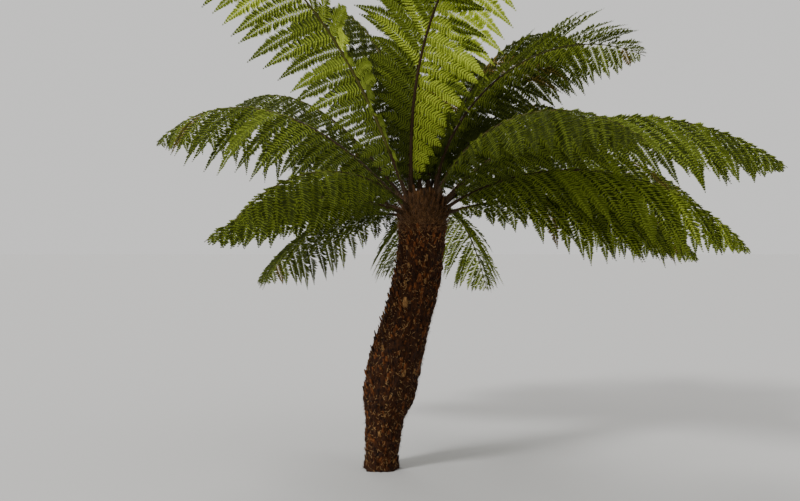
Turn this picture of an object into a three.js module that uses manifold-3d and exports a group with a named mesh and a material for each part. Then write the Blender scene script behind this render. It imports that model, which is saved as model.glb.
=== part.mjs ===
import * as THREE from "three";
import { mergeVertices } from "three/addons/utils/BufferGeometryUtils.js";
import Module from "manifold-3d";

// A tree fern: one leaning trunk wrapped in old frond bases and root fibre, a domed crown head on
// top of it, and a crown of long arching fronds that spring from the head.
// Millimetres, +Z up. The origin is the centre of the trunk's flat foot, at ground level.
// +X is to the right and +Y away from someone who sees the trunk lean to the right.

// Trunk
const TRUNK_HEIGHT = 1390;
const AXIS_WAVE = 1500; // height over which the axis bows out and back once
const LEAN = 0.165; // sideways travel for each unit of height
const BOW = 25;
const TRUNK_SIDES = 20;
const TRUNK_RINGS = 18;
// [height, radius]: a small flare at the ground, a narrow ankle, a belly, then an even stem
const TRUNK_PROFILE = [
  [0, 106],
  [60, 92],
  [220, 104],
  [470, 151],
  [590, 154],
  [950, 139],
  [1200, 131],
  [1390, 134],
];
const LUMP = 0.05; // share of the radius by which the trunk is uneven
const PEG_COUNT = 70; // stubs of old fronds that stand out of the trunk
const PEG_LENGTH = 46;
const PEG_WIDTH = 24;
const PEG_SUNK = 14;
const PEG_LOWEST = 90;
const PEG_HIGHEST = 1270;

// Crown head: a dome that carries the fronds
const GAP = 0.3; // clearance between touching pieces
const HEAD_HEIGHT = 175;
const HEAD_RADIUS = 128;
const HEAD_TOP_RADIUS = 34;
const HEAD_SEGMENTS = 18;

// Fronds
const RIB_ROOT = 12; // half width of the rib where it leaves the head
const RIB_TIP = 2;
const RIB_KEEL = 1.5; // keel depth over half width
const RIB_STEPS = 60; // steps in which a rib's curve is followed
const BARE_SHARE = 0.05; // share of the length below the first leaflets
const LEAFLET_SPACING = 88;
const LEAFLET_MIDDLE = 0.45; // share of a leaflet's length at its widest section
const LEAFLET_WIDTH = 0.4; // half width there over the spacing
const LEAFLET_THICKNESS = 0.016; // of its length
// How most fronds hold their leaflets. reach: the longest one over the frond's length. angles:
// degrees from the rib, at the frond's root and tip. left, right: degrees that the leaflets of that
// side leave the rib below the frond's own face, at its root and tip. sag: how far gravity turns
// them down by their tips. swing: degrees that left leaflets are turned back towards the root and
// right ones on towards the tip.
const HELD = {
  reach: 0.26, angles: [65, 42], left: [36, 36], right: [36, 36], sag: 0.85, swing: 0,
};
const HELD_DIFFERENTLY = {
  frond_01: { reach: 0.215, angles: [80, 50], left: [48, 10], right: [-48, -10], sag: 0.6, swing: 27 },
  frond_02: { reach: 0.205, angles: [80, 50], left: [14, -14], right: [65, 42], sag: 0.6 },
  frond_03: { reach: 0.25, angles: [84, 58], left: [40, 40], right: [40, 40], sag: 0.9 },
  frond_04: { reach: 0.25, angles: [84, 58], left: [40, 40], right: [40, 40], sag: 0.9 },
  frond_06: { reach: 0.2, angles: [64, 42], left: [55, 80], right: [-41, -16], sag: 0.35 },
  frond_07: { reach: 0.27, angles: [56, 42], left: [36, 36], right: [36, 36], sag: 0.65 },
  frond_18: { reach: 0.2, angles: [80, 50], left: [-22, 0], right: [22, 0], sag: 0.5, swing: 27 },
};
const SPLIT_RISE = 300; // a frond that arches higher than this over its chord is two pieces
const SHORTER = [1, 0.85, 0.7, 0.55, 0.4, 0.25]; // lengths tried where leaflets would touch
const CLEARANCE = 3;

// azimuth: degrees from +X towards +Y. rise: degrees above level at the root. droop: degrees that
// the frond turns down by its tip, spread as share ** bend. sway: degrees that it turns sideways.
// seat: the side of the head that it springs from, where that isn't its own azimuth.
const FRONDS = [
  { name: "frond_01", azimuth: -47, rise: 92, droop: 106, bend: 1.56, length: 2280, sway: 2, seat: 171 },
  { name: "frond_02", azimuth: -159, rise: 68, droop: 67, bend: 1.8, length: 2340, sway: 1 },
  { name: "frond_03", azimuth: 140, rise: 47, droop: 70, bend: 1.67, length: 2100, sway: -9 },
  { name: "frond_04", azimuth: 163, rise: 46, droop: 85, bend: 1.5, length: 2100, sway: -17, seat: 165 },
  { name: "frond_05", azimuth: 119, rise: 33, droop: 55, bend: 0.8, length: 1900, sway: 5 },
  { name: "frond_06", azimuth: 23, rise: 85, droop: 99, bend: 0.8, length: 2130, sway: 8 },
  { name: "frond_07", azimuth: -13, rise: 50, droop: 89, bend: 0.95, length: 2120, sway: 10 },
  { name: "frond_08", azimuth: 30, rise: 39, droop: 89, bend: 0.8, length: 2120, sway: -17 },
  { name: "frond_09", azimuth: 20, rise: 16, droop: 54, bend: 1.2, length: 1750, sway: -6 },
  { name: "frond_10", azimuth: 73, rise: 17, droop: 71, bend: 0.92, length: 1670, sway: -4 },
  { name: "frond_11", azimuth: 26, rise: 46, droop: 84, bend: 0.85, length: 2050, sway: -6, seat: 12 },
  { name: "frond_12", azimuth: 50, rise: 58, droop: 92, bend: 1.1, length: 2150, sway: -8 },
  { name: "frond_13", azimuth: 76, rise: 48, droop: 86, bend: 1.3, length: 2200, sway: -8 },
  { name: "frond_14", azimuth: 98, rise: 71, droop: 92, bend: 1.3, length: 2250, sway: 10 },
  { name: "frond_15", azimuth: 104, rise: 40, droop: 78, bend: 1.3, length: 2150, sway: 6 },
  { name: "frond_16", azimuth: 92, rise: 13, droop: 60, bend: 1.2, length: 1900, sway: 8 },
  { name: "frond_17", azimuth: 72, rise: 77, droop: 100, bend: 1.1, length: 2200, sway: 0 },
  { name: "frond_18", azimuth: -112, rise: 95, droop: 100, bend: 1.6, length: 2250, sway: 0, seat: 108 },
  { name: "frond_19", azimuth: 134, rise: 8, droop: 50, bend: 1.1, length: 1700, sway: -4 },
  { name: "frond_20", azimuth: 149, rise: 24, droop: 62, bend: 1.2, length: 1500, sway: -4 },
  { name: "frond_21", azimuth: 2, rise: 33, droop: 84, bend: 1.0, length: 2000, sway: 0 },
  { name: "frond_22", azimuth: -154, rise: 17, droop: 58, bend: 1.2, length: 1250, sway: 8 },
  { name: "frond_23", azimuth: 124, rise: 80, droop: 98, bend: 1.5, length: 2200, sway: 4, seat: 140 },
  { name: "frond_24", azimuth: 44, rise: 73, droop: 94, bend: 1.4, length: 2150, sway: 0, seat: 42 },
  { name: "frond_25", azimuth: -42, rise: 66, droop: 108, bend: 0.9, length: 1500, sway: 6, seat: -38 },
  { name: "frond_26", azimuth: -135, rise: 34, droop: 80, bend: 1.0, length: 1350, sway: 6 },
];

const TRUNK_FINISH = new THREE.MeshStandardMaterial({ color: "#3d2214", roughness: 0.95 });
const HEAD_FINISH = new THREE.MeshStandardMaterial({ color: "#6b4a24", roughness: 0.95 });
const FROND_FINISH = new THREE.MeshStandardMaterial({ color: "#5c6f22", roughness: 0.6 });

const DOWN = new THREE.Vector3(0, 0, -1);
const GOLDEN_ANGLE = Math.PI * (3 - Math.sqrt(5));
const radians = THREE.MathUtils.degToRad;

const wasm = await Module();
wasm.setup();

// Repeatable numbers from 0 to 1
function seeded(seed) {
  let state = seed >>> 0;
  return () => {
    state = (Math.imul(state, 1664525) + 1013904223) >>> 0;
    return state / 4294967296;
  };
}

function geometryOf(points, triangles) {
  const positions = points.flatMap((p) => [p.x, p.y, p.z]);
  return new THREE.BufferGeometry()
    .setAttribute("position", new THREE.Float32BufferAttribute(positions, 3))
    .setIndex(triangles.flat());
}

function solidOf(geometry) {
  const bare = geometry.clone();
  bare.deleteAttribute("normal");
  bare.deleteAttribute("uv");
  const merged = mergeVertices(bare, 1e-3);
  return new wasm.Manifold(
    new wasm.Mesh({
      numProp: 3,
      vertProperties: new Float32Array(merged.attributes.position.array),
      triVerts: new Uint32Array(merged.index.array),
    }),
  );
}

function geometryFromSolid(solid) {
  const mesh = solid.getMesh();
  return new THREE.BufferGeometry()
    .setAttribute("position", new THREE.BufferAttribute(new Float32Array(mesh.vertProperties), 3))
    .setIndex(new THREE.BufferAttribute(new Uint32Array(mesh.triVerts), 1));
}

function nodeOf(name, geometry, material) {
  const mesh = new THREE.Mesh(geometry, material);
  mesh.name = name;
  return mesh;
}

// The trunk's centre line and thickness

function trunkCentre(height) {
  const bow = BOW * Math.sin((2 * Math.PI * height) / AXIS_WAVE);
  return new THREE.Vector3(LEAN * height - bow, 0, height);
}

function trunkRadius(height) {
  const k = Math.max(1, TRUNK_PROFILE.findIndex(([z]) => z >= height));
  const [z0, r0] = TRUNK_PROFILE[k - 1];
  const [z1, r1] = TRUNK_PROFILE[k];
  return THREE.MathUtils.lerp(r0, r1, THREE.MathUtils.smoothstep(height, z0, z1));
}

function trunkPoint(height, angle) {
  const lumps = Math.sin(3 * angle + height / 150) + Math.sin(5 * angle - height / 95);
  const radius = trunkRadius(height) * (1 + (LUMP * lumps) / 2);
  return trunkCentre(height).add(
    new THREE.Vector3(Math.cos(angle) * radius, Math.sin(angle) * radius, 0),
  );
}

function trunkStem() {
  const points = [];
  const triangles = [];
  for (let ring = 0; ring <= TRUNK_RINGS; ring++) {
    const height = (TRUNK_HEIGHT * ring) / TRUNK_RINGS;
    for (let side = 0; side < TRUNK_SIDES; side++)
      points.push(trunkPoint(height, (2 * Math.PI * side) / TRUNK_SIDES));
  }
  const foot = points.push(trunkCentre(0)) - 1;
  const top = points.push(trunkCentre(TRUNK_HEIGHT)) - 1;
  const last = TRUNK_RINGS * TRUNK_SIDES;
  for (let side = 0; side < TRUNK_SIDES; side++) {
    const next = (side + 1) % TRUNK_SIDES;
    for (let base = 0; base < last; base += TRUNK_SIDES) {
      const above = base + TRUNK_SIDES;
      triangles.push([base + side, base + next, above + next]);
      triangles.push([base + side, above + next, above + side]);
    }
    triangles.push([foot, next, side], [top, last + side, last + next]);
  }
  return solidOf(geometryOf(points, triangles));
}

// A stub of an old frond: a three-sided spike that leans up and out of the trunk
function peg(height, angle, size) {
  const out = new THREE.Vector3(Math.cos(angle), Math.sin(angle), 0);
  const across = new THREE.Vector3(-Math.sin(angle), Math.cos(angle), 0);
  const root = trunkPoint(height, angle).addScaledVector(out, -PEG_SUNK);
  const half = (PEG_WIDTH * size) / 2;
  const corners = [
    root.clone().addScaledVector(across, -half).addScaledVector(DOWN, -half),
    root.clone().addScaledVector(across, half).addScaledVector(DOWN, -half),
    root.clone().addScaledVector(DOWN, half),
    root.clone().addScaledVector(out, PEG_LENGTH * size).addScaledVector(DOWN, -PEG_LENGTH * size),
  ];
  return solidOf(geometryOf(corners, [[0, 1, 2], [0, 3, 1], [1, 3, 2], [2, 3, 0]]));
}

function makeTrunk() {
  const random = seeded(7);
  let trunk = trunkStem();
  const reach = PEG_HIGHEST - PEG_LOWEST;
  for (let k = 0; k < PEG_COUNT; k++) {
    const height = PEG_LOWEST + (reach * (k + 0.5)) / PEG_COUNT;
    trunk = trunk.add(peg(height, k * GOLDEN_ANGLE, 0.75 + 0.4 * random()));
  }
  return trunk;
}

// The crown head: a lathe-turned dome. grow makes the same shape a little larger all round.
function headRadius(share) {
  const dome = Math.sqrt(1 - Math.min(1, share) ** 2.4);
  return HEAD_TOP_RADIUS + (HEAD_RADIUS - HEAD_TOP_RADIUS) * dome;
}

function makeHead(grow = 0) {
  const profile = [new THREE.Vector2(0, -grow)];
  for (let k = 0; k <= 6; k++)
    profile.push(new THREE.Vector2(headRadius(k / 6) + grow, (HEAD_HEIGHT * k) / 6 + grow * (k / 3 - 1)));
  profile.push(new THREE.Vector2(0, HEAD_HEIGHT + 12 + grow));
  const foot = trunkCentre(TRUNK_HEIGHT);
  const geometry = new THREE.LatheGeometry(profile, HEAD_SEGMENTS)
    .rotateX(Math.PI / 2)
    .translate(foot.x, foot.y, foot.z + GAP);
  return solidOf(geometry);
}

// Where a frond leaves the head: hanging fronds low on its side, upright ones near its top
function frondRoot(frond) {
  const share = THREE.MathUtils.clamp((frond.rise + 32) / 128, 0.15, 0.9);
  const angle = radians(frond.seat ?? frond.azimuth);
  const radius = headRadius(share) - 10;
  return trunkCentre(TRUNK_HEIGHT).add(
    new THREE.Vector3(Math.cos(angle) * radius, Math.sin(angle) * radius, share * HEAD_HEIGHT),
  );
}

// Follows a frond's rib and gives its point, direction, left and up at each share of its length
function ribFrames(frond) {
  const frames = [];
  const step = 1 / RIB_STEPS;
  const point = frondRoot(frond);
  for (let k = 0; k <= RIB_STEPS; k++) {
    const share = k * step;
    const turned = radians(frond.azimuth + frond.sway * share);
    const climb = radians(frond.rise - frond.droop * share ** frond.bend);
    const along = new THREE.Vector3(
      Math.cos(climb) * Math.cos(turned),
      Math.cos(climb) * Math.sin(turned),
      Math.sin(climb),
    );
    const left = new THREE.Vector3(-Math.sin(turned), Math.cos(turned), 0);
    const up = along.clone().cross(left);
    frames.push({ point: point.clone(), along, left, up });
    point.addScaledVector(along, frond.length * step);
  }
  return frames;
}

function frameAt(frames, share) {
  const place = Math.min(share, 1) * RIB_STEPS;
  const k = Math.min(Math.floor(place), RIB_STEPS - 1);
  const [a, b] = [frames[k], frames[k + 1]];
  const mix = (key) => a[key].clone().lerp(b[key], place - k);
  return {
    point: mix("point"),
    along: mix("along").normalize(),
    left: mix("left").normalize(),
    up: mix("up").normalize(),
  };
}

// Leaflet length over the longest one, from root to tip of the frond
function outline(share) {
  return Math.sin(Math.PI * Math.min(share, 1) ** 1.05) ** 1.1;
}

// Shares of the length between which the leaflets stand
function stationShares(frond) {
  const shares = [0, BARE_SHARE];
  const spacing = LEAFLET_SPACING / frond.length;
  for (;;) {
    const last = shares.at(-1);
    const next = last + spacing * (0.6 + 0.4 * outline(last));
    if (next > 0.985) break;
    shares.push(next);
  }
  return shares;
}

function ribStation(frames, share) {
  const { point, along, left, up } = frameAt(frames, share);
  const half = THREE.MathUtils.lerp(RIB_ROOT, RIB_TIP, share);
  return {
    share,
    along,
    left: point.clone().addScaledVector(left, half),
    right: point.clone().addScaledVector(left, -half),
    keel: point.clone().addScaledVector(up, -RIB_KEEL * half),
  };
}

// The corners of one leaflet between two stations: the widest section's back, front and ridge,
// and the tip. side is 1 on the left and -1 on the right.
function leafletCorners(frames, frond, from, to, side, scale, fatter = 0) {
  const middleShare = (from.share + to.share) / 2;
  const held = { ...HELD, ...HELD_DIFFERENTLY[frond.name] };
  const { point, along, left, up } = frameAt(frames, middleShare);
  const angle = radians(THREE.MathUtils.lerp(...held.angles, middleShare) + side * held.swing);
  const dip = radians(THREE.MathUtils.lerp(...(side > 0 ? held.left : held.right), middleShare));
  const reach = frond.length * held.reach * outline(middleShare) * scale;
  const start = along
    .clone()
    .multiplyScalar(Math.cos(angle))
    .addScaledVector(left, side * Math.sin(angle) * Math.cos(dip))
    .addScaledVector(up, -Math.sin(angle) * Math.sin(dip));
  const heading = (v) => start.clone().addScaledVector(DOWN, held.sag * v).normalize();
  const first = heading(LEAFLET_MIDDLE / 2);
  const second = heading((1 + LEAFLET_MIDDLE) / 2);
  const middle = point.clone().addScaledVector(first, reach * LEAFLET_MIDDLE);
  const tip = middle.clone().addScaledVector(second, reach * (1 - LEAFLET_MIDDLE));
  const half = (to.share - from.share) * frond.length * LEAFLET_WIDTH + fatter;
  const ridgeUp = first.clone().cross(along).multiplyScalar(-side).normalize();
  const thickness = Math.max(2, reach * LEAFLET_THICKNESS) + fatter;
  return {
    back: middle.clone().addScaledVector(along, -half).addScaledVector(ridgeUp, -fatter),
    front: middle.clone().addScaledVector(along, half).addScaledVector(ridgeUp, -fatter),
    ridge: middle.clone().addScaledVector(ridgeUp, thickness),
    tip,
  };
}

// Faces of a leaflet, for its right-hand form: top, foot, sides and outer end
const LEAFLET_FACES = [
  ["edge0", "back", "ridge"],
  ["edge0", "ridge", "edge1"],
  ["edge1", "ridge", "front"],
  ["back", "tip", "ridge"],
  ["ridge", "tip", "front"],
  ["keel0", "keel1", "front"],
  ["keel0", "front", "back"],
  ["back", "front", "tip"],
  ["edge0", "keel0", "back"],
  ["edge1", "front", "keel1"],
];
const LEAFLET_ROOT_FACES = [
  ["edge0", "edge1", "keel1"],
  ["edge0", "keel1", "keel0"],
];

// A leaflet by itself, closed at its root, used to test whether it would touch another
function leafletSolid(from, to, side, corners) {
  const edge = side > 0 ? "left" : "right";
  const named = { edge0: from[edge], edge1: to[edge], keel0: from.keel, keel1: to.keel, ...corners };
  const keys = Object.keys(named);
  const faces = [...LEAFLET_FACES, ...LEAFLET_ROOT_FACES].map((face) => {
    const [a, b, c] = face.map((key) => keys.indexOf(key));
    return side > 0 ? [a, c, b] : [a, b, c];
  });
  return solidOf(geometryOf(keys.map((key) => named[key]), faces));
}

// One closed piece of frond between two stations: the rib, with its leaflets grown out of it
function frondPiece(stations, leaflets, first, last) {
  const points = [];
  const triangles = [];
  const add = (p) => points.push(p) - 1;
  const rows = stations.slice(first, last + 1).map((s) => ({
    left: add(s.left),
    right: add(s.right),
    keel: add(s.keel),
  }));
  rows.slice(0, -1).forEach((a, k) => {
    const b = rows[k + 1];
    triangles.push([a.left, a.right, b.right], [a.left, b.right, b.left]);
    for (const side of [-1, 1]) {
      const edge = side > 0 ? "left" : "right";
      const turn = ([p, q, r]) => (side > 0 ? [p, r, q] : [p, q, r]);
      const corners = leaflets.get(`${first + k}${edge}`);
      if (!corners) {
        triangles.push(turn([a[edge], a.keel, b.keel]), turn([a[edge], b.keel, b[edge]]));
        continue;
      }
      const named = { edge0: a[edge], edge1: b[edge], keel0: a.keel, keel1: b.keel };
      for (const [key, p] of Object.entries(corners)) named[key] = add(p);
      for (const face of LEAFLET_FACES) triangles.push(turn(face.map((key) => named[key])));
    }
  });
  const [start, end] = [rows[0], rows.at(-1)];
  triangles.push([start.left, start.keel, start.right], [end.left, end.right, end.keel]);
  return solidOf(geometryOf(points, triangles));
}

function boxesMeet(a, b) {
  return [0, 1, 2].every((k) => a.min[k] <= b.max[k] && b.min[k] <= a.max[k]);
}

function touches(solid, obstacles) {
  const box = solid.boundingBox();
  return obstacles.some((o) => boxesMeet(box, o.box) && !solid.intersect(o.solid).isEmpty());
}

function obstacle(solid, owner) {
  return { solid, owner, box: solid.boundingBox() };
}

// How high the rib arches over the straight line from root to tip
function archHeight(frames) {
  const chord = new THREE.Line3(frames[0].point, frames.at(-1).point);
  const foot = new THREE.Vector3();
  return Math.max(
    ...frames.map(({ point }) => chord.closestPointToPoint(point, true, foot).distanceTo(point)),
  );
}

function growFronds(trunk, head) {
  const grown = FRONDS.map((frond) => {
    const frames = ribFrames(frond);
    const stations = [...stationShares(frond), 1].map((share) => ribStation(frames, share));
    return { frond, frames, stations, leaflets: new Map() };
  });
  const obstacles = [obstacle(trunk), obstacle(head)];
  for (const { frond, stations } of grown)
    obstacles.push(obstacle(frondPiece(stations, new Map(), 0, stations.length - 1), frond));
  for (const { frond, frames, stations, leaflets } of grown) {
    const others = obstacles.filter((o) => o.owner !== frond);
    const mine = [];
    for (let k = 1; k < stations.length - 2; k++) {
      const [from, to] = [stations[k], stations[k + 1]];
      for (const side of [-1, 1]) {
        for (const scale of SHORTER) {
          const fat = leafletCorners(frames, frond, from, to, side, scale, CLEARANCE);
          const tested = leafletSolid(from, to, side, fat);
          if (touches(tested, others)) continue;
          const corners = leafletCorners(frames, frond, from, to, side, scale);
          leaflets.set(`${k}${side > 0 ? "left" : "right"}`, corners);
          mine.push(obstacle(tested, frond));
          break;
        }
      }
    }
    obstacles.push(...mine);
  }
  return grown;
}

// The stations after which a frond is cut: at its middle where it arches high, else nowhere
function cutsOf({ frames, stations }) {
  const last = stations.length - 1;
  if (archHeight(frames) < SPLIT_RISE) return [[0, last]];
  const middle = stations.findIndex(({ share }) => share > 0.48);
  return [
    [0, middle],
    [middle, last],
  ];
}

function makeFronds(trunk, head, headRoom) {
  const fronds = new THREE.Group();
  for (const grown of growFronds(trunk, head)) {
    const cuts = cutsOf(grown);
    cuts.forEach(([first, last], part) => {
      const stations = grown.stations.map((s, k) => {
        if (part === 0 || k !== first) return s;
        const shifted = { ...s };
        for (const key of ["left", "right", "keel"])
          shifted[key] = s[key].clone().addScaledVector(s.along, GAP);
        return shifted;
      });
      let piece = frondPiece(stations, grown.leaflets, first, last);
      if (part === 0) {
        const outside = piece.subtract(headRoom).decompose();
        piece = outside.sort((a, b) => b.volume() - a.volume())[0];
      }
      const suffix = cuts.length === 1 ? "" : ["_inner", "_outer"][part];
      fronds.add(nodeOf(grown.frond.name + suffix, geometryFromSolid(piece), FROND_FINISH));
    });
  }
  return fronds;
}

const trunk = makeTrunk();
const head = makeHead();
const tree = new THREE.Group();
tree.name = "tree_fern";
tree.add(nodeOf("trunk", geometryFromSolid(trunk), TRUNK_FINISH));
tree.add(nodeOf("crown_head", geometryFromSolid(head), HEAD_FINISH));
tree.add(makeFronds(trunk, head, makeHead(GAP)));

export default tree;
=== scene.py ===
import math

import bpy
import numpy as np
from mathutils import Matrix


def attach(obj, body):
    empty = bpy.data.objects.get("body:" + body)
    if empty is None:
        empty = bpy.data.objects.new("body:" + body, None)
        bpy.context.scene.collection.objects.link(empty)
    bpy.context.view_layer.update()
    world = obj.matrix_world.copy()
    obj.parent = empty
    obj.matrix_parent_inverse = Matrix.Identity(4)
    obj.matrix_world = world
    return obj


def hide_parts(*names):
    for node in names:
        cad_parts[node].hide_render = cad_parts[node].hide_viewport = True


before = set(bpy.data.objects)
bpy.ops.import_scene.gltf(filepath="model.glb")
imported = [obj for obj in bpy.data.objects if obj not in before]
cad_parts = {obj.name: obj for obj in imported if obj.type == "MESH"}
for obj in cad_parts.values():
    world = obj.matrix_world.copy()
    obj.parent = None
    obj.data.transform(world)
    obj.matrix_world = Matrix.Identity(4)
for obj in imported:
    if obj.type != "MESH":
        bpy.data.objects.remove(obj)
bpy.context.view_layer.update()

# Lengths are in metres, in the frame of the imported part. Angles are in radians, except where a
# comment says degrees.

# Camera: level, at the photograph's viewing point
CAMERA_AT = (0.109, -5.14, 1.243)
CAMERA_LENS = 40.5
SENSOR_WIDTH = 36.0

# Trunk: the same named values as the solids
TRUNK_HEIGHT = 1.39
AXIS_WAVE = 1.5  # height over which the axis bows out and back once
LEAN = 0.165  # sideways travel for each unit of height
BOW = 0.025
# Height and radius: a small flare at the ground, a narrow ankle, a belly, then an even stem
TRUNK_PROFILE = np.array(
    [
        (0.000, 0.106),
        (0.060, 0.092),
        (0.220, 0.104),
        (0.470, 0.151),
        (0.590, 0.154),
        (0.950, 0.139),
        (1.200, 0.131),
        (1.390, 0.134),
    ]
)
LUMP = 0.05  # share of the radius by which the trunk is uneven
LUMP_TURNS = (3, 0.15)  # lumps round the trunk, and the height in which their wave moves a radian
CROSS_LUMP_TURNS = (5, 0.095)
PEG_COUNT = 70  # large stubs, which the solid has too
PEG_LENGTH = 0.046
PEG_WIDTH = 0.024
PEG_LOWEST = 0.09
PEG_HIGHEST = 1.27
HEAD_HEIGHT = 0.175
HEAD_RADIUS = 0.128
HEAD_TOP_RADIUS = 0.034

# Fronds: the same rule as the solids
RIB_ROOT = 0.012  # half width of a rib where it leaves the head
RIB_TIP = 0.002
RIB_STEPS = 60  # steps in which a rib's curve is followed
BARE_SHARE = 0.05  # share of the length below the first leaflets
LEAFLET_SPACING = 0.088
LEAFLETS_END = 0.985  # share of the rib's length where the leaflets and the visible rib end


def held(reach, angles, left, right, sag, swing=0):
    """How a frond holds its leaflets, with angles in degrees.

    reach is the longest one's length over the frond's, and angles their angle to the rib at its
    root and tip. left and right are each side's dip below the frond's face, at its root and tip.
    sag is how strongly they bend down towards their tips, and swing turns both sides the same way
    round.
    """
    return {"reach": reach, "angles": angles, "left": left, "right": right, "sag": sag, "swing": swing}


HELD = held(0.26, (65, 42), (36, 36), (36, 36), 0.85)
# By place in FRONDS
HELD_DIFFERENTLY = {
    0: held(0.215, (80, 50), (48, 10), (-48, -10), 0.6, 27),
    1: held(0.205, (80, 50), (14, -14), (65, 42), 0.6),
    2: held(0.25, (84, 58), (40, 40), (40, 40), 0.9),
    3: held(0.25, (84, 58), (40, 40), (40, 40), 0.9),
    5: held(0.2, (64, 42), (55, 80), (-41, -16), 0.35),
    6: held(0.27, (56, 42), (36, 36), (36, 36), 0.65),
    17: held(0.2, (80, 50), (-22, 0), (22, 0), 0.5, 27),
}

# Azimuth, rise, droop, bend, length, sway and seat, with angles in degrees. A rib leaves the head
# at its azimuth and rise, turns down by its droop, spread as share**bend, and turns sideways by
# its sway. Its seat is the side of the head that it springs from, None where that is its azimuth.
FRONDS = [
    (-47, 92, 106, 1.56, 2.28, 2, 171),
    (-159, 68, 67, 1.8, 2.34, 1, None),
    (140, 47, 70, 1.67, 2.1, -9, None),
    (163, 46, 85, 1.5, 2.1, -17, 165),
    (119, 33, 55, 0.8, 1.9, 5, None),
    (23, 85, 99, 0.8, 2.13, 8, None),
    (-13, 50, 89, 0.95, 2.12, 10, None),
    (30, 39, 89, 0.8, 2.12, -17, None),
    (20, 16, 54, 1.2, 1.75, -6, None),
    (73, 17, 71, 0.92, 1.67, -4, None),
    (26, 46, 84, 0.85, 2.05, -6, 12),
    (50, 58, 92, 1.1, 2.15, -8, None),
    (76, 48, 86, 1.3, 2.2, -8, None),
    (98, 71, 92, 1.3, 2.25, 10, None),
    (104, 40, 78, 1.3, 2.15, 6, None),
    (92, 13, 60, 1.2, 1.9, 8, None),
    (72, 77, 100, 1.1, 2.2, 0, None),
    (-112, 95, 100, 1.6, 2.25, 0, 108),
    (134, 8, 50, 1.1, 1.7, -4, None),
    (149, 24, 62, 1.2, 1.5, -4, None),
    (2, 33, 84, 1.0, 2.0, 0, None),
    (-154, 17, 58, 1.2, 1.25, 8, None),
    (124, 80, 98, 1.5, 2.2, 4, 140),
    (44, 73, 94, 1.4, 2.15, 0, 42),
    (-42, 66, 108, 0.9, 1.5, 6, -38),
    (-135, 34, 80, 1.0, 1.35, 6, None),
]
LENGTH = 4  # place of the length in a row of FRONDS

DOWN = np.array([0.0, 0.0, -1.0])
GOLDEN_ANGLE = math.pi * (3 - math.sqrt(5))
TINY = 1e-12


def unit(v):
    """Vectors of length 1 along those of an array."""
    return v / np.maximum(np.linalg.norm(v, axis=-1, keepdims=True), TINY)


# Meshes


def mesh_piece(name, points, triangles, finish, smooth=False):
    """A piece from arrays of points and triangles, riding on the plant's one body."""
    mesh = bpy.data.meshes.new(name)
    count = len(triangles)
    mesh.vertices.add(len(points))
    mesh.vertices.foreach_set("co", np.ascontiguousarray(points, np.float32).ravel())
    mesh.loops.add(3 * count)
    mesh.loops.foreach_set("vertex_index", np.ascontiguousarray(triangles, np.int32).ravel())
    mesh.polygons.add(count)
    mesh.polygons.foreach_set("loop_start", np.arange(0, 3 * count, 3, dtype=np.int32))
    mesh.polygons.foreach_set("use_smooth", np.full(count, smooth, bool))
    mesh.update(calc_edges=True)
    mesh.materials.append(finish)
    piece = bpy.data.objects.new(name, mesh)
    bpy.context.collection.objects.link(piece)
    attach(piece, "root")
    return piece


PIECE_LIMIT = 190_000  # triangles in one piece of a pile, about


class Pile:
    """Gathers many small meshes of one kind into a few large ones."""

    def __init__(self):
        self.points = []
        self.triangles = []

    def add(self, points, triangles):
        self.points.append(points.reshape(-1, 3))
        self.triangles.append(np.asarray(triangles).reshape(-1, 3))

    def add_copies(self, points, pattern):
        """points is (copies, corners, 3) and pattern the triangles of one copy."""
        copies, corners, _ = points.shape
        steps = (np.arange(copies) * corners)[:, None, None]
        self.add(points, np.asarray(pattern)[None] + steps)

    def pieces(self, name, finish, smooth=False):
        """The pile as pieces of about PIECE_LIMIT triangles at most, numbered if several."""
        group = np.cumsum([len(t) for t in self.triangles]) // PIECE_LIMIT
        made = []
        for number in range(group[-1] + 1):
            chosen = np.flatnonzero(group == number)
            first = np.cumsum([0] + [len(self.points[k]) for k in chosen])
            points = np.concatenate([self.points[k] for k in chosen])
            triangles = np.concatenate([self.triangles[k] + f for k, f in zip(chosen, first)])
            label = f"{name}_{number + 1}" if group[-1] else name
            made.append(mesh_piece(label, points, triangles, finish, smooth))
        return made

    def stand_for(self, nodes, slot, name, finish, smooth=False):
        """Makes the pile's pieces, which replace the nodes in the picture."""
        for piece in self.pieces(name, finish, smooth):
            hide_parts(*nodes)


# Materials

LEAF_ROUGHNESS = 0.7
LEAF_SPECULAR = 0.04
LEAF_THROUGH = 0.45  # weight of the light that comes through a leaf
FIBRE_ROUGHNESS = 0.95
FIBRE_SPECULAR = 0.2
FIBRE_STRETCH = 0.35  # scale of the streaks upright, so that they run up the trunk
FIBRE_DETAIL = 6
FIBRE_GRAIN = 0.7
FIBRE_DARK_UPTO = 0.38
FIBRE_LIGHT_FROM = 0.68
FIBRE_BUMP_STRENGTH = 0.8


def material(name, colour, roughness, specular=0.5):
    made = bpy.data.materials.new(name)
    made.use_nodes = True
    shader = made.node_tree.nodes["Principled BSDF"]
    shader.inputs["Base Color"].default_value = (*colour, 1)
    shader.inputs["Roughness"].default_value = roughness
    shader.inputs["Specular IOR Level"].default_value = specular
    return made


def leaf_material(name, colour, through):
    """A leaf that also lets some light through, of colour through."""
    made = material(name, colour, LEAF_ROUGHNESS, LEAF_SPECULAR)
    nodes, links = made.node_tree.nodes, made.node_tree.links
    glow = nodes.new("ShaderNodeBsdfTranslucent")
    glow.inputs["Color"].default_value = (*through, 1)
    mix = nodes.new("ShaderNodeMixShader")
    mix.inputs["Fac"].default_value = LEAF_THROUGH
    links.new(nodes["Principled BSDF"].outputs[0], mix.inputs[1])
    links.new(glow.outputs[0], mix.inputs[2])
    links.new(mix.outputs[0], nodes["Material Output"].inputs["Surface"])
    return made


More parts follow.
